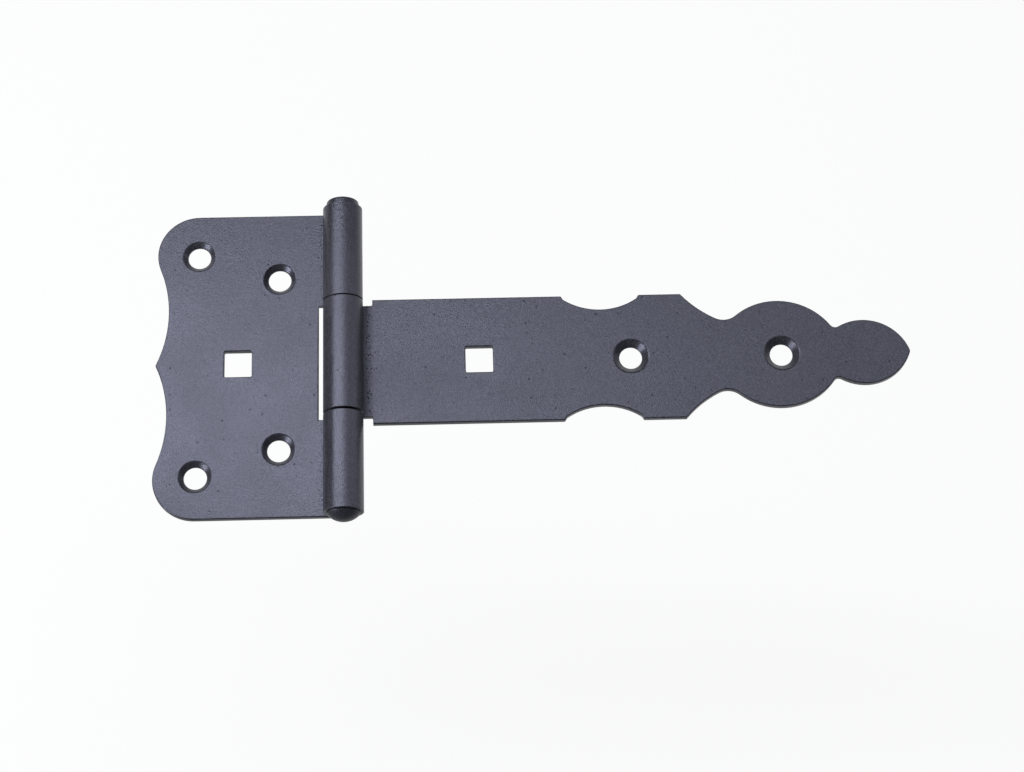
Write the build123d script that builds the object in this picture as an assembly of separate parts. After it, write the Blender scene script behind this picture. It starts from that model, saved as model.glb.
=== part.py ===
from build123d import *
import os
from math import asin, atan2, cos, degrees, radians, sin, sqrt

# A flat T hinge of pressed sheet steel: a square leaf, a long shaped strap, and a pin.
# X runs along the strap, Y along the pin, and Z out of the front face.
# The origin is on the plane of both backs, straight below the middle of the pin.
# All sizes are in millimetres.

# Sheet, barrel and pin
sheet = 2.0
pin_d = 6.35
pin_play = 0.075
seam_gap = 0.1

# Heads of the pin: a button head at the top (+Y), and a riveted dome at the bottom
button_d = 8.6
button_rim = 1.85
button_rise = 3.05
button_edge_r = 0.6
rivet_d = 8.8
rivet_rim = 0.3
rivet_rise = 2.35
rivet_edge_r = 0.2

# Leaf
leaf_height = 85.0
leaf_reach = 49.5
leaf_corner_r = 11.0
leaf_scallop_r = 35.0
leaf_scallop_y = 14.6
leaf_cusp_r = 0.4
leaf_outer_screw_x = 38.5
leaf_outer_screw_y = 31.0
leaf_inner_screw_x = 17.0
leaf_inner_screw_y = 24.0
leaf_square_x = 27.8

# Notch in the leaf for the strap's knuckle, and the play at each end of that knuckle
notch_length = 32.1
notch_x = 6.6
end_gap_high = 0.28
end_gap_low = 0.6

# Strap, measured from the pin axis at the root and back from the tip at the shaped end
strap_reach = 150.0
strap_width = 35.0
shoulder_x = 7.6
shoulder_r = 0.5
strap_square_x = 35.7
strap_screw_pitch = 40.0
strap_screw_from_tip = 34.2

# Scallop in each long edge of the strap: a short steep riser at both ends of a shallow arc
scallop_from_tip = 81.85
scallop_length = 20.7
scallop_riser_run = 0.55
scallop_riser = 0.95
scallop_sag = 3.05
scallop_corner_r = 0.4

# Waist, lobe, throat and bud that end the strap
land_end_from_tip = 60.3
waist_from_tip = 48.0
waist_half = 8.94
waist_r = 5.0
waist_run_sag = 0.98
throat_from_tip = 19.9
throat_half = 6.5
throat_r = 1.5
lobe_sag = 7.23
bud_sag = 5.4
tip_r = 1.5

# Holes: the leaf's are sunk less deep than the strap's
screw_hole_d = 6.0
leaf_sink_d = 8.6
strap_sink_d = 9.4
screw_sink_angle = 90.0
square_hole = 7.2
square_hole_r = 0.4

# Sizes that follow from those above
pin_r = pin_d / 2
bore_r = pin_r + pin_play
barrel_r = bore_r + sheet
pin_z = barrel_r
notch_half = notch_length / 2
strap_half = strap_width / 2
leaf_half = leaf_height / 2
knuckle_high = notch_half - end_gap_high
knuckle_low = -notch_half + end_gap_low


def point_on(centre, radius, angle):
    """Point on a circle at an angle in degrees."""
    x = centre[0] + radius * cos(radians(angle))
    y = centre[1] + radius * sin(radians(angle))
    return (x, y)


def both_sides(upper_edges):
    """Closed face from the edges of its upper half, which start and end on y = 0."""
    upper = Curve() + upper_edges
    return make_face(upper + mirror(upper, about=Plane.XZ))


def round_corners(face, x, y, radius):
    """Rounds the corner at (x, y), and its twin below the centre line where y isn't 0."""
    for side in ([1, -1] if y else [1]):
        corner = face.vertices().sort_by_distance((x, side * y, 0))[0]
        face = fillet(corner, radius)
    return face


def rolled_eye(root_x, y_low, y_high):
    """One knuckle: the sheet comes in from root_x, tangent to the barrel, and rolls over the front."""
    # The cut end of the roll stops just above the sheet's own front face.
    end_angle = -degrees(asin((barrel_r - sheet - seam_gap) / barrel_r))
    sweep = 270 - end_angle
    outside = CenterArc((0, pin_z), barrel_r, end_angle, sweep)
    inside = CenterArc((0, pin_z), bore_r, end_angle, sweep)
    section = make_face(
        Curve()
        + [
            outside,
            inside,
            Line(outside @ 0, inside @ 0),
            Line(outside @ 1, (root_x, 0)),
            Line((root_x, 0), (root_x, sheet)),
            Line((root_x, sheet), inside @ 1),
        ]
    )
    section_plane = Plane.XZ.offset(-y_high)
    return extrude(section_plane * section, y_high - y_low)


def countersunk_hole(x, y, sink_d):
    """Cutter for a screw hole that is countersunk from the front face."""
    cutter = CounterSinkHole(screw_hole_d / 2, sink_d / 2, sheet, screw_sink_angle, mode=Mode.PRIVATE)
    return Pos(x, y, sheet) * cutter


def coach_bolt_hole(x):
    """Cutter for the square hole that takes the square neck of a coach bolt."""
    outline = RectangleRounded(square_hole, square_hole, square_hole_r)
    return Pos(x, 0, 0) * extrude(outline, sheet)


def leaf_plate():
    """Flat of the leaf: two round corners, and two shallow scallops that meet in a cusp."""
    corner = (-leaf_reach + leaf_corner_r, leaf_half - leaf_corner_r)
    # The scallop's centre is placed so that its arc runs into the corner's arc without a kink.
    centres_apart = leaf_corner_r + leaf_scallop_r
    drop = corner[1] - leaf_scallop_y
    scallop = (corner[0] - sqrt(centres_apart**2 - drop**2), leaf_scallop_y)
    join_angle = degrees(atan2(drop, corner[0] - scallop[0]))
    cusp_angle = -degrees(asin(leaf_scallop_y / leaf_scallop_r))
    cusp = point_on(scallop, leaf_scallop_r, cusp_angle)
    upper_edges = [
        Line((-notch_x, 0), (-notch_x, leaf_half)),
        Line((-notch_x, leaf_half), (corner[0], leaf_half)),
        CenterArc(corner, leaf_corner_r, 90, 90 + join_angle),
        CenterArc(scallop, leaf_scallop_r, cusp_angle, join_angle - cusp_angle),
    ]
    outline = round_corners(both_sides(upper_edges), cusp[0], 0, leaf_cusp_r)
    return extrude(outline, sheet)


def leaf():
    """Leaf: the flat, with the two outer knuckles rolled from it, one each side of the notch."""
    body = leaf_plate()
    body += mirror(rolled_eye(notch_x, notch_half, leaf_half), about=Plane.YZ)
    body += mirror(rolled_eye(notch_x, -leaf_half, -notch_half), about=Plane.YZ)
    for side in (1, -1):
        body -= countersunk_hole(-leaf_outer_screw_x, side * leaf_outer_screw_y, leaf_sink_d)
        body -= countersunk_hole(-leaf_inner_screw_x, side * leaf_inner_screw_y, leaf_sink_d)
    return body - coach_bolt_hole(-leaf_square_x)


def strap_plate():
    """Flat of the strap: straight, scalloped, drawn in to a waist, and ended by a lobe and a bud."""
    scallop_x = strap_reach - scallop_from_tip
    scallop_start = scallop_x - scallop_length / 2
    scallop_end = scallop_x + scallop_length / 2
    riser_foot = strap_half - scallop_riser
    arc_start = (scallop_start + scallop_riser_run, riser_foot)
    arc_end = (scallop_end - scallop_riser_run, riser_foot)
    land_end = (strap_reach - land_end_from_tip, strap_half)
    waist = (strap_reach - waist_from_tip, waist_half)
    throat = (strap_reach - throat_from_tip, throat_half)
    upper_edges = [
        Line((shoulder_x, 0), (shoulder_x, strap_half)),
        Line((shoulder_x, strap_half), (scallop_start, strap_half)),
        Line((scallop_start, strap_half), arc_start),
        SagittaArc(arc_start, arc_end, -scallop_sag),
        Line(arc_end, (scallop_end, strap_half)),
        Line((scallop_end, strap_half), land_end),
        SagittaArc(land_end, waist, -waist_run_sag),
        SagittaArc(waist, throat, lobe_sag),
        SagittaArc(throat, (strap_reach, 0), bud_sag),
    ]
    outline = both_sides(upper_edges)
    outline = round_corners(outline, scallop_start, strap_half, scallop_corner_r)
    outline = round_corners(outline, scallop_end, strap_half, scallop_corner_r)
    outline = round_corners(outline, land_end[0], strap_half, scallop_corner_r)
    outline = round_corners(outline, waist[0], waist_half, waist_r)
    outline = round_corners(outline, throat[0], throat_half, throat_r)
    outline = round_corners(outline, strap_reach, 0, tip_r)
    return extrude(outline, sheet)


def strap():
    """Strap: the flat, with a narrower neck that is rolled into the middle knuckle."""
    body = strap_plate() + rolled_eye(shoulder_x, knuckle_low, knuckle_high)
    upright = body.edges().filter_by(Axis.Z)
    inner_corners = [
        upright.sort_by_distance((shoulder_x, y, sheet / 2))[0] for y in (knuckle_low, knuckle_high)
    ]
    body = fillet(inner_corners, shoulder_r)
    far_screw_x = strap_reach - strap_screw_from_tip
    body -= countersunk_hole(far_screw_x, 0, strap_sink_d)
    body -= countersunk_hole(far_screw_x - strap_screw_pitch, 0, strap_sink_d)
    return body - coach_bolt_hole(strap_square_x)


def pin_head(diameter, rim, rise, edge_r):
    """Domed head standing on the outer end of the knuckle at +Y, with a straight rim and a round edge."""
    head_r = diameter / 2
    dome_rise = rise - rim
    dome_r = (head_r**2 + dome_rise**2) / (2 * dome_rise)
    dome_centre = (0, leaf_half + rise - dome_r)
    dome_angle = degrees(asin((dome_r - dome_rise) / dome_r))
    dome = CenterArc(dome_centre, dome_r, dome_angle, 90 - dome_angle)
    edges = [
        Line((0, leaf_half), (head_r, leaf_half)),
        Line((head_r, leaf_half), dome @ 0),
        dome,
        Line(dome @ 1, (0, leaf_half)),
    ]
    section = make_face(Curve() + edges)
    section = fillet(section.vertices().sort_by_distance(dome @ 0)[0], edge_r)
    return revolve(section, Axis.Y)


def pin():
    """Pin: a plain shank through all three knuckles, held by a head at each end."""
    shank = Plane.XZ.offset(-leaf_half) * extrude(Circle(pin_r), leaf_height)
    button = pin_head(button_d, button_rim, button_rise, button_edge_r)
    rivet = mirror(pin_head(rivet_d, rivet_rim, rivet_rise, rivet_edge_r), about=Plane.XZ)
    return Pos(0, 0, pin_z) * (shank + button + rivet)


os.makedirs("parts", exist_ok=True)
export_step(leaf(), "parts/leaf.step")
export_step(strap(), "parts/strap.step")
export_step(pin(), "parts/pin.step")
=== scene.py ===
import math

import bmesh
import bpy
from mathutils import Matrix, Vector


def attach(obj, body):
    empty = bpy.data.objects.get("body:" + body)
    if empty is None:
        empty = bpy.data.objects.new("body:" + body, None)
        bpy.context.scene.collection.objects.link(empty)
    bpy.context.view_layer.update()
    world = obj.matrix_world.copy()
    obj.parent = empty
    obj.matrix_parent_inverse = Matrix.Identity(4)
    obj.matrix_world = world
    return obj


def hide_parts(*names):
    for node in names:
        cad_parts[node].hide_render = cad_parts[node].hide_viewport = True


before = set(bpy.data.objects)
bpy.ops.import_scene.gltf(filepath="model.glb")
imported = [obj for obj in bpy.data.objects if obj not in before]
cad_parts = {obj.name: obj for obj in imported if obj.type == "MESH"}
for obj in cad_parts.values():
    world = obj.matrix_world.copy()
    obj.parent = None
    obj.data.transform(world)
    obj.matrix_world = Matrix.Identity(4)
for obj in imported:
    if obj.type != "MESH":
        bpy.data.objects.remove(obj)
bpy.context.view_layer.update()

scene = bpy.context.scene

# The camera looks down on the hinge, which lies face up, from in front of its lower edge. Its lens,
# place and turn were worked out from the hole rims and the outline in the photograph.
mm = 0.001
lens_length = 79.3
sensor_width = 36
camera_place = (28.31 * mm, -214.15 * mm, 556.93 * mm)
camera_turn = (20.428, -1.015, -1.651)
nearest_seen = 10 * mm
farthest_seen = 10

camera_data = bpy.data.cameras.new("camera")
camera_data.lens = lens_length
camera_data.sensor_width = sensor_width
camera_data.clip_start = nearest_seen
camera_data.clip_end = farthest_seen
camera = bpy.data.objects.new("camera", camera_data)
camera.location = camera_place
camera.rotation_euler = [math.radians(turn) for turn in camera_turn]
scene.collection.objects.link(camera)
scene.camera = camera
scene.view_settings.view_transform = "Standard"

# A long soft box hangs to the left of the hinge and behind it. It gives the flats their sheen, which
# fades along the strap, and the barrel its soft stripe. Two dimmer ones carry it on overhead and to
# the right, and a small low one at the front left touches the countersinks and the pin's lower end.
lamp_colour = (0.93, 0.96, 1.0)


def soft_box(name, side, back, distance, width, depth, brightness):
    """Hangs a lamp that faces the hinge, tilted from overhead to the side and to the back, in degrees.

    A brightness of 1 is that of a white surface.
    """
    data = bpy.data.lights.new(name, "AREA")
    data.shape = "RECTANGLE"
    data.size = width
    data.size_y = depth
    data.energy = brightness * math.pi * width * depth
    data.color = lamp_colour
    lamp = bpy.data.objects.new(name, data)
    lamp.rotation_euler = (math.radians(-back), math.radians(side), 0)
    lamp.location = lamp.rotation_euler.to_matrix() @ Vector((0, 0, distance))
    lamp.visible_camera = False
    scene.collection.objects.link(lamp)


soft_box("left_box", side=-26, back=18.8, distance=0.62, width=0.62, depth=0.14, brightness=9.9)
soft_box("top_box", side=10, back=18.4, distance=0.62, width=0.20, depth=0.14, brightness=4.1)
soft_box("right_box", side=51, back=18, distance=0.62, width=0.78, depth=0.14, brightness=2.05)
soft_box("front_left_box", side=-70, back=-30, distance=0.8, width=0.32, depth=0.32, brightness=12)

# The room gives an even pale light from every side. It looks white where the camera sees it past the
# floor's far edge.
room_colour = (0.94, 0.97, 1.0, 1)
room_glow = 0.21
room_seen = 0.94


def add_node(tree, kind, **settings):
    """Adds a node to a tree, with its settings."""
    made = tree.nodes.new(kind)
    for name, value in settings.items():
        setattr(made, name, value)
    return made


def feed(tree, taker, value):
    """Gives an input socket a plain value, or a link from an output socket."""
    if isinstance(value, bpy.types.NodeSocket):
        tree.links.new(value, taker)
    else:
        taker.default_value = value


def maths(tree, operation, first, second=0.0):
    """Adds a Math node, and returns its output."""
    made = add_node(tree, "ShaderNodeMath", operation=operation)
    feed(tree, made.inputs[0], first)
    feed(tree, made.inputs[1], second)
    return made.outputs["Value"]


def span(tree, value, low, high, to_low, to_high):
    """Adds a Map Range node, which keeps its result between its two ends, and returns its output."""
    made = add_node(tree, "ShaderNodeMapRange")
    ends = {"Value": value, "From Min": low, "From Max": high, "To Min": to_low, "To Max": to_high}
    for name, end in ends.items():
        feed(tree, made.inputs[name], end)
    return made.outputs["Result"]


world = bpy.data.worlds.new("room")
world.use_nodes = True
room = world.node_tree
room_light = room.nodes["Background"].inputs
room_sight = add_node(room, "ShaderNodeLightPath").outputs
looked_out = maths(room, "MAXIMUM", room_sight["Is Camera Ray"], room_sight["Is Transmission Ray"])
feed(room, room_light["Color"], room_colour)
feed(room, room_light["Strength"], span(room, looked_out, 0, 1, room_glow, room_seen))
scene.world = world

# The floor is one plain matt board, so far below the hinge that the strap can hang straight down. It
# keeps a faint shadow, and most of its white is added for what the camera and reflections see. In
# reflections it darkens to the lower left, to keep the plates' lower edges and the rivet dark.
floor_half = 30.0
floor_drop = 150 * mm
floor_corners = [(-1, -1), (1, -1), (1, 1), (-1, 1)]
floor_grey = (0.10, 0.10, 0.10, 1)
floor_roughness = 0.9
floor_gloss = 0.1
added_white = (1, 1, 1, 1)
floor_lift = 0.885
paler_towards = (1, 2, 0)
darkest_up_to = -0.5
whitest_from = 0.24
darkest_share = 0.2

corners = [(x * floor_half, y * floor_half, -floor_drop) for x, y in floor_corners]
floor_mesh = bpy.data.meshes.new("floor")
floor_mesh.from_pydata(corners, [], [(0, 1, 2, 3)])
floor = bpy.data.objects.new("floor", floor_mesh)
scene.collection.objects.link(floor)

floor_white = bpy.data.materials.new("floor_white")
floor_white.use_nodes = True
board = floor_white.node_tree
board_surface = board.nodes["Principled BSDF"].inputs
seen = add_node(board, "ShaderNodeLightPath").outputs
board_place = add_node(board, "ShaderNodeTexCoord").outputs["Object"]
across = add_node(board, "ShaderNodeVectorMath", operation="DOT_PRODUCT")
feed(board, across.inputs[0], board_place)
feed(board, across.inputs[1], paler_towards)
paleness = span(board, across.outputs["Value"], darkest_up_to, whitest_from, darkest_share, 1)
mirrored = maths(board, "MULTIPLY", seen["Is Glossy Ray"], paleness)
looked_at = maths(board, "MAXIMUM", seen["Is Camera Ray"], seen["Is Transmission Ray"])
lift = maths(board, "MULTIPLY", maths(board, "MAXIMUM", looked_at, mirrored), floor_lift)
feed(board, board_surface["Base Color"], floor_grey)
feed(board, board_surface["Roughness"], floor_roughness)
feed(board, board_surface["Specular IOR Level"], floor_gloss)
feed(board, board_surface["Emission Color"], added_white)
feed(board, board_surface["Emission Strength"], lift)
floor_mesh.materials.append(floor_white)

# The leaf is pressed from 2 mm sheet steel, pierced and countersunk, and its two outer knuckles are
# rolled round the pin. Black powder coat, baked on, rounds its edges and has a fine satin grain,
# and small nibs of powder lie on the flat along the foot of the barrel.
plate_top = 2.05 * mm
pin_axis = 5.25 * mm
leaf_hole_lines = [y * mm for y in (-31, -24, 0, 24, 31)]
sharp_angle = math.radians(40)
plate_round = 0.32 * mm
barrel_round = 0.10 * mm
round_steps = 3
most_of_wall = 0.4

coat_dark = (0.004, 0.004, 0.005, 1)
coat_light = (0.054, 0.054, 0.065, 1)
coat_roughness = 0.32
coat_ior = 1.5
coat_gloss = 0.62
coat_tint = (0.765, 0.775, 1.0, 1)
coat_grains = 3200
leaf_grain_height = 0.056 * mm
wavy_peel = 0.75
flat_peel = 0.22
wavy_fade = 3 * mm
dull_fade = 2.2 * mm

leaf_seam = 5.5 * mm
leaf_nib_band = 1.2 * mm
leaf_nib = 0.17 * mm
smallest_nib = 0.06 * mm
nibs_per_square_metre = 4e6
scattered_share = 0.005


def add_sockets(tree, direction, kinds):
    """Adds the named input or output sockets of a node group, each of its own kind."""
    for name, kind in kinds.items():
        tree.interface.new_socket(name=name, in_out=direction, socket_type="NodeSocket" + kind)


def powder_grain_group():
    """Makes the group that gives baked powder coat its colour, roughness and height at each place."""
    waves_per_metre = 700
    clouds_per_metre = 60
    pores_per_metre = 260
    fleck_low = 0.32
    fleck_high = 0.72
    cloud_low = 0.3
    cloud_high = 0.7
    patch_shade = 0.14
    pit_floor = 0.03
    pit_rim = 0.09
    patch_dulling = 0.25
    pit_dulling = 0.2
    grain_relief = 0.7
    pit_depth = 0.5

    tree = bpy.data.node_groups.new("powder_grain", "ShaderNodeTree")
    takers = {"Place": "Vector", "Dark": "Color", "Light": "Color", "Roughness": "Float"}
    takers |= {"Grains per metre": "Float", "Peel": "Float"}
    add_sockets(tree, "INPUT", takers)
    add_sockets(tree, "OUTPUT", {"Color": "Color", "Roughness": "Float", "Height": "Float"})
    given = add_node(tree, "NodeGroupInput").outputs
    result = add_node(tree, "NodeGroupOutput").inputs

    def noise(per_metre, detail):
        made = add_node(tree, "ShaderNodeTexNoise")
        feed(tree, made.inputs["Vector"], given["Place"])
        feed(tree, made.inputs["Scale"], per_metre)
        feed(tree, made.inputs["Detail"], detail)
        return made.outputs["Fac"]

    grain = noise(given["Grains per metre"], detail=2)
    peel = noise(waves_per_metre, detail=1)
    cloud = noise(clouds_per_metre, detail=2)
    pores = add_node(tree, "ShaderNodeTexVoronoi")
    feed(tree, pores.inputs["Vector"], given["Place"])
    feed(tree, pores.inputs["Scale"], pores_per_metre)

    flecks = span(tree, grain, fleck_low, fleck_high, 0, 1)
    patches = span(tree, cloud, cloud_low, cloud_high, -patch_shade, patch_shade)
    # The pores' pits are dented and rougher, and their colour is painted darker too: painted shade in
    # their hollows.
    pits_and_their_shade = span(tree, pores.outputs["Distance"], pit_floor, pit_rim, 1, 0)
    mottled = maths(tree, "ADD", flecks, patches)
    shade = add_node(tree, "ShaderNodeMix", data_type="RGBA")
    feed(tree, shade.inputs["Factor"], maths(tree, "SUBTRACT", mottled, pits_and_their_shade))
    feed(tree, shade.inputs["A"], given["Dark"])
    feed(tree, shade.inputs["B"], given["Light"])
    feed(tree, result["Color"], shade.outputs["Result"])

    patchy = maths(tree, "ADD", given["Roughness"], maths(tree, "MULTIPLY", patches, patch_dulling))
    dulled = maths(tree, "ADD", patchy, maths(tree, "MULTIPLY", pits_and_their_shade, pit_dulling))
    feed(tree, result["Roughness"], dulled)

    waves = maths(tree, "MULTIPLY", peel, given["Peel"])
    relief = maths(tree, "ADD", maths(tree, "MULTIPLY", grain, grain_relief), waves)
    pitted = maths(tree, "SUBTRACT", relief, maths(tree, "MULTIPLY", pits_and_their_shade, pit_depth))
    feed(tree, result["Height"], pitted)
    return tree


powder_grain = powder_grain_group()


def powder_coat(name, dark, light, roughness, grain_height, grains_per_metre, build_up, dulling=0.0):
    """Makes black powder coat, which is thick and wavy nearer the pin axis than build_up, in metres.

    dulling is how much rougher it lies on the flat at that line.
    """
    material = bpy.data.materials.new(name)
    material.use_nodes = True
    tree = material.node_tree
    coat = tree.nodes["Principled BSDF"].inputs
    place = add_node(tree, "ShaderNodeTexCoord").outputs["Object"]
    along = add_node(tree, "ShaderNodeSeparateXYZ")
    feed(tree, along.inputs["Vector"], place)
    off_axis = maths(tree, "ABSOLUTE", along.outputs["X"])

    grain = add_node(tree, "ShaderNodeGroup", node_tree=powder_grain)
    peel = span(tree, off_axis, build_up, build_up + wavy_fade, wavy_peel, flat_peel)
    feed(tree, grain.inputs["Place"], place)
    feed(tree, grain.inputs["Dark"], dark)
    feed(tree, grain.inputs["Light"], light)
    feed(tree, grain.inputs["Roughness"], roughness)
    feed(tree, grain.inputs["Grains per metre"], grains_per_metre)
    feed(tree, grain.inputs["Peel"], peel)

    relief = add_node(tree, "ShaderNodeBump")
    feed(tree, relief.inputs["Strength"], 1)
    feed(tree, relief.inputs["Distance"], grain_height)
    feed(tree, relief.inputs["Height"], grain.outputs["Height"])
    on_flat = maths(tree, "LESS_THAN", along.outputs["Z"], plate_top)
    dull = span(tree, off_axis, build_up, build_up + dull_fade, dulling, 0)
    dull_flat = maths(tree, "MULTIPLY", dull, on_flat)
    feed(tree, coat["Base Color"], grain.outputs["Color"])
    feed(tree, coat["Roughness"], maths(tree, "ADD", grain.outputs["Roughness"], dull_flat))
    feed(tree, coat["Normal"], relief.outputs["Normal"])
    feed(tree, coat["IOR"], coat_ior)
    feed(tree, coat["Specular IOR Level"], coat_gloss)
    feed(tree, coat["Specular Tint"], coat_tint)
    return material


def merged(node, name, hole_lines, neck):
    """Makes a mesh of a CAD node, with its triangles merged into whole flats, ready for rounding.

    The flats are divided only along hole_lines, the places on Y of lines through the holes. The
    plates' sharp edges are marked to be rounded in full, and the barrel's less and less as they
    climb. Nearer the pin than neck, on X, all edges are rounded as little as the barrel's top. No
    edge is rounded by more than most_of_wall times the shortest plain edge that meets it.
    """
    same_place = 0.001 * mm
    same_flat = math.radians(0.2)
    form = bmesh.new()
    form.from_mesh(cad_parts[node].data)
    bmesh.ops.remove_doubles(form, verts=form.verts, dist=same_place)
    for line in hole_lines:
        cut = bmesh.ops.bisect_plane(
            form,
            geom=form.verts[:] + form.edges[:] + form.faces[:],
            plane_co=(0, line, 0),
            plane_no=(0, 1, 0),
            dist=same_place,
        )
        for made in cut["geom_cut"]:
            if isinstance(made, bmesh.types.BMEdge):
                made.seam = True
    bmesh.ops.dissolve_limit(
        form, angle_limit=same_flat, verts=form.verts, edges=form.edges, delimit={"SEAM"}
    )

    sharp = {e for e in form.edges if e.calc_face_angle_signed(0) > sharp_angle}
    least = barrel_round / plate_round
    rounded = {}
    for edge in sharp:
        middle = sum(v.co.z for v in edge.verts) / 2
        climb = min(max((middle - plate_top) / (pin_axis - plate_top), 0), 1)
        on_neck = max(abs(v.co.x) for v in edge.verts) < neck
        share = least if on_neck else 1 - climb * (1 - least)
        beside = [e.calc_length() for v in edge.verts for e in v.link_edges if e not in sharp]
        allowed = most_of_wall * min(beside, default=plate_top)
        rounded[frozenset(v.index for v in edge.verts)] = min(share, allowed / plate_round)
    mesh = bpy.data.meshes.new(name)
    mesh.from_pydata([v.co for v in form.verts], [], [[v.index for v in f.verts] for f in form.faces])
    form.free()
    mesh.shade_smooth()
    weights = mesh.attributes.new("bevel_weight_edge", "FLOAT", "EDGE")
    for edge in mesh.edges:
        weights.data[edge.index].value = rounded.get(frozenset(edge.vertices), 0)
    return mesh


def powder_nibs_tree():
    """Makes the tree that adds nibs, the small round lumps of powder near a seam, to a plate's front.

    They lie thick at the seam and thin out over a narrow band, and a few are scattered further out.
    """
    spots_seed = 7
    thinning_seed = 3
    size_seed = 11
    straight_up = 0.9
    lump_steps = 2

    tree = bpy.data.node_groups.new("powder_nibs", "GeometryNodeTree")
    numbers = ["Seam", "Band", "Nibs per square metre", "Scattered share", "Smallest", "Largest"]
    takers = {"Plate": "Geometry"} | dict.fromkeys(numbers, "Float") | {"Coat": "Material"}
    add_sockets(tree, "INPUT", takers)
    add_sockets(tree, "OUTPUT", {"Plate": "Geometry"})
    given = add_node(tree, "NodeGroupInput").outputs
    result = add_node(tree, "NodeGroupOutput").inputs

    def random_value(seed, low, high):
        # A Random Value node keeps the ends for plain numbers in sockets 2 and 3, and gives them at 1.
        made = add_node(tree, "FunctionNodeRandomValue")
        feed(tree, made.inputs["Seed"], seed)
        feed(tree, made.inputs[2], low)
        feed(tree, made.inputs[3], high)
        return made.outputs[1]

    def parts(kind, output):
        made = add_node(tree, "ShaderNodeSeparateXYZ")
        feed(tree, made.inputs["Vector"], add_node(tree, kind).outputs[output])
        return made.outputs

    place = parts("GeometryNodeInputPosition", "Position")
    facing = parts("GeometryNodeInputNormal", "Normal")
    on_plate = maths(tree, "LESS_THAN", place["Z"], plate_top)
    front = maths(tree, "MULTIPLY", maths(tree, "GREATER_THAN", facing["Z"], straight_up), on_plate)
    spots = add_node(tree, "GeometryNodeDistributePointsOnFaces")
    feed(tree, spots.inputs["Mesh"], given["Plate"])
    feed(tree, spots.inputs["Selection"], front)
    feed(tree, spots.inputs["Density"], given["Nibs per square metre"])
    feed(tree, spots.inputs["Seed"], spots_seed)

    out = maths(tree, "SUBTRACT", maths(tree, "ABSOLUTE", place["X"]), given["Seam"])
    thinning = maths(tree, "SUBTRACT", 1, maths(tree, "DIVIDE", out, given["Band"]))
    share = maths(tree, "MAXIMUM", thinning, given["Scattered share"])
    left_out = maths(tree, "GREATER_THAN", random_value(thinning_seed, 0, 1), share)
    under_barrel = maths(tree, "LESS_THAN", out, 0)
    thin_out = add_node(tree, "GeometryNodeDeleteGeometry")
    feed(tree, thin_out.inputs["Geometry"], spots.outputs["Points"])
    feed(tree, thin_out.inputs["Selection"], maths(tree, "MAXIMUM", left_out, under_barrel))

    lump = add_node(tree, "GeometryNodeMeshIcoSphere")
    feed(tree, lump.inputs["Radius"], 1)
    feed(tree, lump.inputs["Subdivisions"], lump_steps)
    set_down = add_node(tree, "GeometryNodeInstanceOnPoints")
    feed(tree, set_down.inputs["Points"], thin_out.outputs["Geometry"])
    feed(tree, set_down.inputs["Instance"], lump.outputs["Mesh"])
    feed(tree, set_down.inputs["Scale"], random_value(size_seed, given["Smallest"], given["Largest"]))
    smooth = add_node(tree, "GeometryNodeSetShadeSmooth")
    feed(tree, smooth.inputs["Geometry"], set_down.outputs["Instances"])
    both = add_node(tree, "GeometryNodeJoinGeometry")
    feed(tree, both.inputs["Geometry"], smooth.outputs["Geometry"])
    feed(tree, both.inputs["Geometry"], given["Plate"])
    real = add_node(tree, "GeometryNodeRealizeInstances")
    feed(tree, real.inputs["Geometry"], both.outputs["Geometry"])
    dress = add_node(tree, "GeometryNodeSetMaterial")
    feed(tree, dress.inputs["Geometry"], real.outputs["Geometry"])
    feed(tree, dress.inputs["Material"], given["Coat"])
    feed(tree, result["Plate"], dress.outputs["Geometry"])
    return tree


powder_nibs = powder_nibs_tree()


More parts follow.
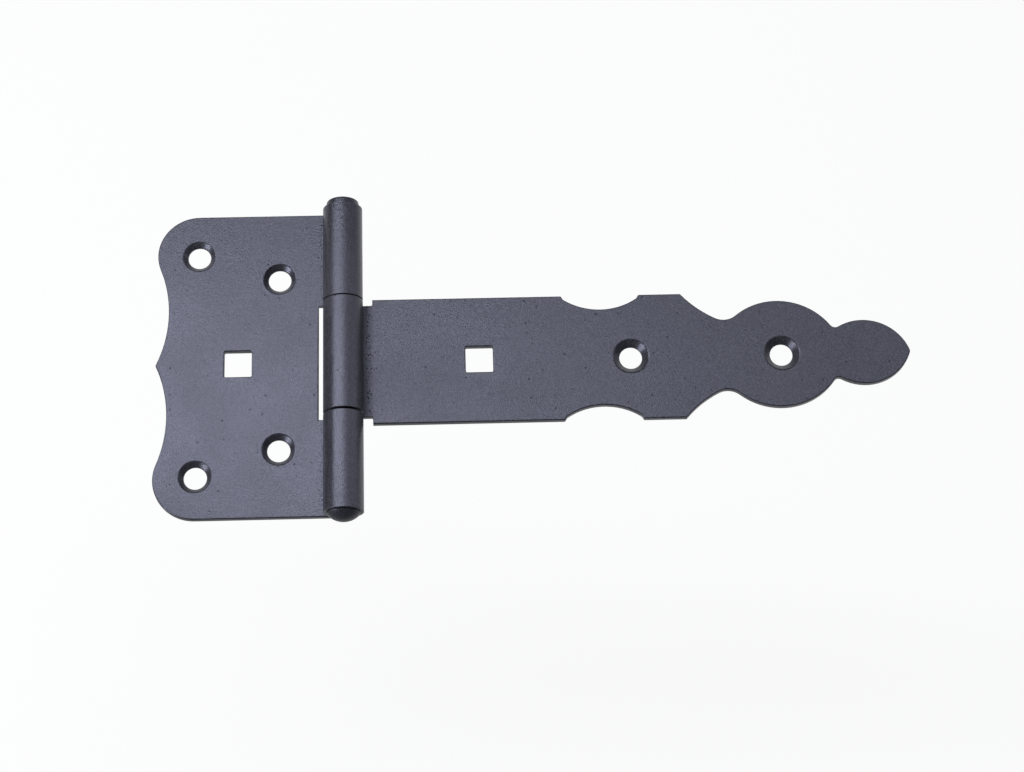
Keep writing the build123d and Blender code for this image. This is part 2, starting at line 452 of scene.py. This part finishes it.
def coated(node, name, body, material, hole_lines=(), neck=0, seam=None, nib_band=0, largest_nib=0):
    """Makes the coated form of a CAD node, with rounded edges, and nibs of powder beyond a seam.

    nib_band is how far from the seam they thin out, and largest_nib is the radius of the largest.
    """
    piece = bpy.data.objects.new(name, merged(node, name, hole_lines, neck))
    piece.data.materials.append(material)
    scene.collection.objects.link(piece)
    rounding = piece.modifiers.new("edge_round", "BEVEL")
    rounding.width = plate_round
    rounding.segments = round_steps
    rounding.limit_method = "WEIGHT"
    rounding.use_clamp_overlap = False
    rounding.harden_normals = True
    if seam is not None:
        nibs = piece.modifiers.new("nibs", "NODES")
        nibs.node_group = powder_nibs
        settings = {
            "Seam": seam,
            "Band": nib_band,
            "Nibs per square metre": nibs_per_square_metre,
            "Scattered share": scattered_share,
            "Smallest": smallest_nib,
            "Largest": largest_nib,
            "Coat": material,
        }
        for taker in powder_nibs.interface.items_tree:
            if taker.in_out == "INPUT" and taker.name in settings:
                nibs[taker.identifier] = settings[taker.name]
        finished = piece.evaluated_get(bpy.context.evaluated_depsgraph_get())
        whole = bpy.data.meshes.new_from_object(finished)
        whole.name = name + "_whole"
        piece.modifiers.clear()
        piece.data = whole
    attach(piece, body)
    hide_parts(node)


leaf_coat = powder_coat(
    "leaf_coat", coat_dark, coat_light, coat_roughness, leaf_grain_height, coat_grains, leaf_seam
)
coated(
    "leaf", "leaf_coated", "leaf", leaf_coat,
    hole_lines=leaf_hole_lines, seam=leaf_seam, nib_band=leaf_nib_band, largest_nib=leaf_nib,
)

# The strap is pressed from the same sheet, with a scalloped, drawn-in outline, and its narrow neck
# is rolled into the middle knuckle. It is coated as the leaf is, and its holes are in line.
strap_hole_lines = [0]
strap_neck = 7.65 * mm
strap_grain_height = 0.064 * mm
strap_dulling = 0.17
strap_seam = 5.9 * mm
strap_nib_band = 1.7 * mm
strap_nib = 0.19 * mm

strap_coat = powder_coat(
    "strap_coat", coat_dark, coat_light, coat_roughness, strap_grain_height, coat_grains, strap_seam,
    strap_dulling,
)
coated(
    "strap", "strap_coated", "strap", strap_coat,
    hole_lines=strap_hole_lines, neck=strap_neck, seam=strap_seam, nib_band=strap_nib_band,
    largest_nib=strap_nib,
)

# The pin is a plain steel pin with a button head at the top, and its lower end is riveted over. Only
# its two heads show. Their coat is the sheet's, painted a little darker as shade, for the dark that
# the riveted end reflects.
pin_shaded_dark = (0.005, 0.005, 0.0065, 1)
pin_shaded_light = (0.036, 0.036, 0.045, 1)
pin_roughness = 0.33
pin_grain_height = 0.06 * mm
pin_grains = 3000
pin_build_up = 5.5 * mm

pin_shaded_coat = powder_coat(
    "pin_shaded_coat", pin_shaded_dark, pin_shaded_light, pin_roughness, pin_grain_height, pin_grains, pin_build_up
)
coated("pin", "pin_coated", "leaf", pin_shaded_coat)
